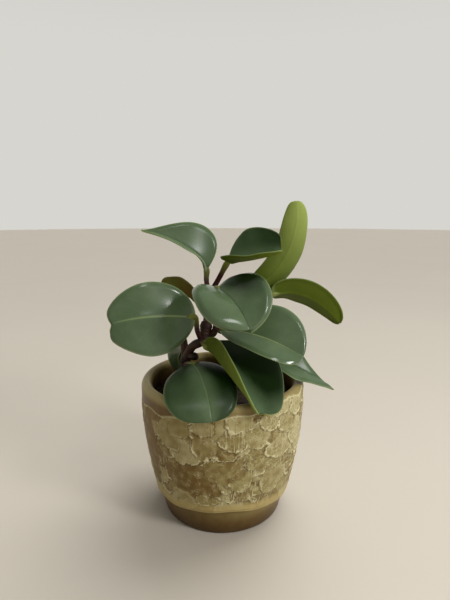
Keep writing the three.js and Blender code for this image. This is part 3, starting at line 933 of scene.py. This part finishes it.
def glaze_pattern(angle, height, place, settings):
    """The crust's pattern at each point of the wall. Flakes with ragged round borders overlap like
    scales. A flake is d = hypot(across / half width, up / half height) < 1, and its depth inside its
    border is (1 - d) times its smaller half size. Later flakes hide earlier ones and shade them."""
    noise = GradientNoise(GLAZE_SEED)
    radius = crust_radius(height)

    def ragged(seed):
        wide, fine = noise(place / (9 * MM) + seed), noise(place / (2.6 * MM) + seed)
        return (2.6 * wide + 0.8 * fine) * MM

    teeth = noise(place / (1.5 * MM) * (1, 1, 0.12) + 70)
    angle = angle + ragged(31) / radius
    height = height + ragged(57) + 0.7 * MM * teeth
    far = 9 * MM
    depth, shade = np.full(angle.shape, far), np.full(angle.shape, far)
    tone, ridge, comb = np.full(angle.shape, 0.45), np.zeros(angle.shape), np.zeros(angle.shape)
    for turn, level, half_width, half_height, own_tone, own_ridge, own_comb in glaze_flakes(settings):
        across = (np.remainder(angle - turn + np.pi, 2 * np.pi) - np.pi) * radius / half_width
        up = (height - level) / half_height
        away = np.hypot(across, up)
        inside = (1 - away) * min(half_width, half_height)
        on_top = inside > 0
        lit = own_ridge * smooth_step(-0.75, 0.7, -(0.45 * across + 0.9 * up) / np.maximum(away, 0.1))
        shade = np.where(on_top, far, np.minimum(shade, np.where(lit > 0.2, -inside, far)))
        depth = np.where(on_top, inside, depth)
        tone, ridge, comb = (
            np.where(on_top, own, old) for own, old in ((own_tone, tone), (lit, ridge), (own_comb, comb))
        )
    border = bell(depth, 1 * MM)
    lumps = 0.3 * noise.layered(place / (6 * MM), 3)
    values = {
        "tone": np.clip(tone + 0.35 * noise(place / (5 * MM) + 9), 0, 1),
        "ridge": ridge * border * smooth_step(-0.45, 0.15, noise(place / (4.5 * MM) + 23)),
        "comb": comb * np.exp(-depth / (3 * MM)),
        "shade": bell(shade, 0.9 * MM),
    }
    relief = 0.75 * values["ridge"] + 0.35 * (tone - 0.5) + lumps * (0.4 + 0.6 * tone) - 0.3 * values["shade"]
    return values, relief


# The sections of the pot's profile, from the middle of the base to the middle of the floor inside
BASE, CORNER, FOOT, EDGE, WALL, LIP, INNER = range(7)


def pot_sections():
    """The pairs of radius and height of each section of the pot's profile."""
    base = np.stack([np.linspace(2 * MM, FOOT_PROFILE[0, 0], 3), np.zeros(3)], -1)
    foot = FOOT_PROFILE[2] + np.linspace(0, 1, 9)[1:, None] * (FOOT_TOP - FOOT_PROFILE[2])
    edge = bezier(np.array([FOOT_TOP, (CRUST_CURVE[0, 0], FOOT_TOP[1]), CRUST_CURVE[0]]), 9)[1:]
    height = np.linspace(CRUST_CURVE[0, 1], LIP_START, WALL_ROWS + 1)[1:]
    wall = np.stack([crust_radius(height), height], -1)
    turn = np.linspace(0, np.pi, 17)[1:]
    lip = np.stack([LIP_MIDDLE + LIP_WIDTH / 2 * np.cos(turn), LIP_START + LIP_ROUND * np.sin(turn)], -1)
    inner = np.concatenate([bezier(INNER_CURVE, 6), bezier(INNER_FOOT, 4)[1:], [(2 * MM, FLOOR_HEIGHT)]])
    return base, bezier(FOOT_PROFILE, 5)[1:], foot, edge, wall, lip, inner


class PEPEROMIA_OT_pot(PieceOperator, bpy.types.Operator):
    """Makes the pot: a turned wall with a round lip, a smooth foot and a crust of glaze in relief"""

    bl_idname = "peperomia.pot"
    bl_label = "Make pot"
    group = "pot"

    def make(self, settings):
        sections = pot_sections()
        profile = np.concatenate(sections)
        section = np.repeat(range(len(sections)), [len(part) for part in sections])[:, None]
        angle = np.linspace(0, 2 * np.pi, POT_COLUMNS, endpoint=False) - np.pi / 2
        from_front = angle + np.pi / 2
        radius, height = (np.repeat(profile[:, k : k + 1], POT_COLUMNS, 1) for k in (0, 1))
        rise = smooth_step(2 * MM, 16 * MM, height) * (1 - smooth_step(20 * MM, 46 * MM, height))
        height = height + np.where(section <= WALL, crust_edge(from_front) * rise, 0)
        radius = np.where(section == WALL, crust_radius(height), radius)
        place = around(radius, angle, height)
        pattern, relief = glaze_pattern(from_front + 0 * height, height, place, settings)
        below_top = POT_HEIGHT - crust_top(from_front) - height
        shown = smooth_step(-1 * MM, 1 * MM, below_top)
        on_lip = shown * smooth_step(LIP_MIDDLE, LIP_MIDDLE + 2 * MM, radius)
        crust = np.select([section == EDGE, section == WALL, section == LIP], [1.0, shown, on_lip], 0)
        top_line = bell(below_top, 1.2 * MM) * crust * (section > EDGE)
        pattern["ridge"] = np.maximum(pattern["ridge"], 0.6 * top_line)
        above_edge = height - CRUST_CURVE[0, 1] - crust_edge(from_front) + 2 * MM * relief
        band = np.where(section == WALL, 1 - smooth_step(3 * MM, 8 * MM, above_edge), section == EDGE)
        proud = (1 - 0.75 * band) * settings.relief * relief + 0.25 * MM * (section > EDGE)
        along = np.gradient(profile, axis=0)
        outward = unit(np.stack([along[:, 1], -along[:, 0]], -1)) * np.isin(section, (WALL, LIP))
        radius = radius + crust * proud * outward[:, :1]
        height = height + crust * proud * outward[:, 1:]
        lip = smooth_step(POT_HEIGHT - 7 * MM, POT_HEIGHT - 2.5 * MM, height) * (section >= WALL)
        under_edge = smooth_step(FOOT_TOP[1] - 9 * MM, FOOT_TOP[1], height) * (section <= FOOT)
        surface = Surface()
        surface.add_rings(
            around(radius, angle, height),
            (0, 0, 0),
            (0, 0, FLOOR_HEIGHT),
            crust=crust,
            band=np.maximum(band * crust, under_edge),
            inside=smooth_step(POT_HEIGHT - 3 * MM, POT_HEIGHT - 12 * MM, height) * (section == INNER),
            # The lip's painted reflection, weaker on its top towards the inside.
            lip=lip * (1 - 0.35 * smooth_step(POT_RADIUS - 1 * MM, LIP_MIDDLE, radius)),
            # From 0 at the left to 1 at the right: the finish paints shade on the left side and light on the
            # right with it.
            side=0.5 + 0.5 * np.sin(from_front - 0.1),
            low=(1 - smooth_step(0, 15 * MM, height)) * (section <= FOOT),
            rich=richness(from_front, height),
            **pattern,
        )
        surface.build("glazed_pot", pot_finish(settings), "pot_glaze", "pot")


def crumb_shape():
    """The corners and faces of a ball of 20 triangles."""
    ball = bmesh.new()
    bmesh.ops.create_icosphere(ball, subdivisions=1, radius=1)
    ball.verts.index_update()
    points = np.array([corner.co for corner in ball.verts])
    faces = np.array([[corner.index for corner in face.verts] for face in ball.faces])
    ball.free()
    return points, faces


class PEPEROMIA_OT_soil(PieceOperator, bpy.types.Operator):
    """Makes the soil: a lumpy top with loose crumbs, filling the pot below"""

    bl_idname = "peperomia.soil"
    bl_label = "Make soil"
    group = "soil"

    def make(self, settings):
        noise = GradientNoise(SOIL_SEED)
        random = np.random.default_rng(CRUMB_SEED)
        line_radius = INNER_CURVE[0, 0] - SOIL_GAP

        def top_height(x, y):
            crown = (SOIL_TOP - SOIL_LINE) * (1 - (x**2 + y**2) / line_radius**2)
            lumps = noise.layered(np.stack([x, y, 0 * x], -1) / (6 * MM), 4)
            return SOIL_LINE - SOIL_SETTLED + crown + settings.roughness * lumps

        below = np.concatenate([bezier(INNER_CURVE, 8)[1:], bezier(INNER_FOOT, 4)[1:]])
        side_radius, side_height = (below - (SOIL_GAP, -SOIL_GAP))[::-1].T
        top_radius = line_radius * np.linspace(1, 0.02, SOIL_ROWS)
        angle = np.linspace(0, 2 * np.pi, SOIL_COLUMNS, endpoint=False)
        radius = np.concatenate([side_radius, top_radius])[:, None] * np.ones(SOIL_COLUMNS)
        x, y = (radius[-SOIL_ROWS:] * turn for turn in (np.cos(angle), np.sin(angle)))
        top = top_height(x, y)
        height = np.concatenate([side_height[:, None] * np.ones(SOIL_COLUMNS), top])
        surface = Surface()
        start, end = (0, 0, side_height[0]), (0, 0, top[-1].mean())
        surface.add_rings(around(radius, angle, height), start, end, crumb=0.0)
        ball, faces = crumb_shape()
        amount = settings.crumb_count
        distance = (line_radius - 2.5 * MM) * np.sqrt(random.uniform(0, 1, amount))
        turn = random.uniform(0, 2 * np.pi, amount)
        x, y = distance * np.cos(turn), distance * np.sin(turn)
        centre = np.stack([x, y, top_height(x, y)], -1)[:, None]
        size = settings.crumb / 2 * random.uniform(0.35, 1, (amount, 1, 1))
        size = size * random.uniform(0.6, 1.2, (amount, 1, 3))
        dents = 1 + 0.22 * noise(ball[None] * 1.5 + random.uniform(0, 99, (amount, 1, 3)))[..., None]
        numbered = faces[None] + np.arange(amount)[:, None, None] * len(ball)
        tone = np.repeat(random.uniform(0, 1, amount) ** 2, len(ball))
        surface.add(centre + size * dents * ball, np.zeros((0, 4)), numbered, crumb=tone)
        surface.build("crumbly_soil", soil_finish(settings), "soil", "soil")


class PEPEROMIA_OT_stage(PieceOperator, bpy.types.Operator):
    """Sets a pale floor, soft lights and the camera"""

    bl_idname = "peperomia.stage"
    bl_label = "Set stage"
    group = "stage"

    def make(self, settings):
        scene = bpy.context.scene
        bpy.ops.mesh.primitive_circle_add(vertices=64, radius=FLOOR_RADIUS, fill_type="NGON")
        floor = bpy.context.object
        floor.name = "floor"
        floor.data.materials.append(floor_finish(settings))
        scene.world = self.make_room(settings)
        key = self.add_light("key", "SUN", KEY_PLACE, settings.key_strength)
        key.data.angle = settings.key_width
        key.visible_glossy = False
        window = self.add_light("window", "AREA", WINDOW_PLACE, settings.window_power)
        pane = self.add_light("pane", "AREA", PANE_PLACE, settings.pane_power)
        window.data.size = pane.data.size = PANE_SIZE
        view = bpy.data.cameras.new("camera")
        view.sensor_fit = "VERTICAL"
        view.sensor_height = 36
        view.lens = settings.lens
        view.clip_start = 0.01
        place = (CAMERA_SIDE, -settings.camera_distance, settings.camera_height)
        scene.camera = self.add_object("camera", view, place)
        scene.camera.rotation_euler = (math.pi / 2 - settings.camera_pitch, 0, 0)
        scene.view_settings.view_transform = "Standard"

    def make_room(self, settings):
        """Light from all round that fades from the bright side, behind and to the right, to the dim
        side, and is weaker overhead."""
        world = bpy.data.worlds.new("room")
        world.use_nodes = True
        nodes = Nodes(world.node_tree)
        direction = nodes.add("TexCoord", output="Generated")
        dot = {"operation": "DOT_PRODUCT"}
        facing = nodes.add("VectorMath", dot, {0: direction, 1: BRIGHT_SIDE}, output="Value")
        share = nodes.add("MapRange", {}, {"Value": facing, "From Min": -1})
        ramp = nodes.add("ValToRGB", {}, {"Fac": share})
        colours = ramp.socket.node.color_ramp
        colours.interpolation = "EASE"
        for stop, tone in zip(colours.elements, (settings.dim, settings.bright)):
            stop.color = (*tone, 1)
        colours.elements[1].position = 0.78
        up = nodes.add("SeparateXYZ", {}, {0: direction}, output="Z")
        ends = {"From Min": 0.3, "From Max": 0.8, "To Min": 1, "To Max": settings.ceiling}
        strength = nodes.add("MapRange", {"interpolation_type": "SMOOTHSTEP"}, {"Value": up, **ends})
        background = world.node_tree.nodes["Background"]
        for name, signal in (("Color", ramp), ("Strength", strength)):
            world.node_tree.links.new(signal.socket, background.inputs[name])
        return world

    def add_object(self, name, data, place):
        thing = bpy.data.objects.new(name, data)
        thing.location = place
        bpy.context.scene.collection.objects.link(thing)
        return thing

    def add_light(self, name, kind, place, energy):
        """A light that shines from a place towards the middle of the plant."""
        data = bpy.data.lights.new(name, kind)
        data.energy = energy
        light = self.add_object(name, data, place)
        light.rotation_euler = (Vector(place) - LIT_PLACE).to_track_quat("Z", "Y").to_euler()
        return light


class PeperomiaSettings(bpy.types.PropertyGroup):
    """All settings of the plant."""

    leaf: PointerProperty(type=LeafSettings)
    stem: PointerProperty(type=StemSettings)
    pot: PointerProperty(type=PotSettings)
    soil: PointerProperty(type=SoilSettings)
    stage: PointerProperty(type=StageSettings)


OPERATORS = (
    PEPEROMIA_OT_pot,
    PEPEROMIA_OT_soil,
    PEPEROMIA_OT_stems,
    PEPEROMIA_OT_leaves,
    PEPEROMIA_OT_stage,
)


class PEPEROMIA_PT_panel(bpy.types.Panel):
    """Lists the operators with their settings"""

    bl_idname = "PEPEROMIA_PT_panel"
    bl_label = "Peperomia"
    bl_space_type = "VIEW_3D"
    bl_region_type = "UI"
    bl_category = "Peperomia"

    def draw(self, context):
        for operator in OPERATORS:
            box = self.layout.box()
            box.operator(operator.bl_idname)
            group = getattr(context.scene.peperomia, operator.group)
            for key in group.__annotations__:
                box.prop(group, key, text=key.replace("_", " ").capitalize())


CLASSES = (
    LeafSettings,
    StemSettings,
    PotSettings,
    SoilSettings,
    StageSettings,
    PeperomiaSettings,
    *OPERATORS,
    PEPEROMIA_PT_panel,
)


def register():
    for cls in CLASSES:
        bpy.utils.register_class(cls)
    bpy.types.Scene.peperomia = PointerProperty(type=PeperomiaSettings)


def unregister():
    del bpy.types.Scene.peperomia
    for cls in reversed(CLASSES):
        bpy.utils.unregister_class(cls)


def main():
    """Registers the add-on and makes every piece in turn."""
    register()
    bpy.ops.peperomia.pot()
    bpy.ops.peperomia.soil()
    bpy.ops.peperomia.stems()
    bpy.ops.peperomia.leaves()
    bpy.ops.peperomia.stage()


if __name__ == "__main__":
    main()
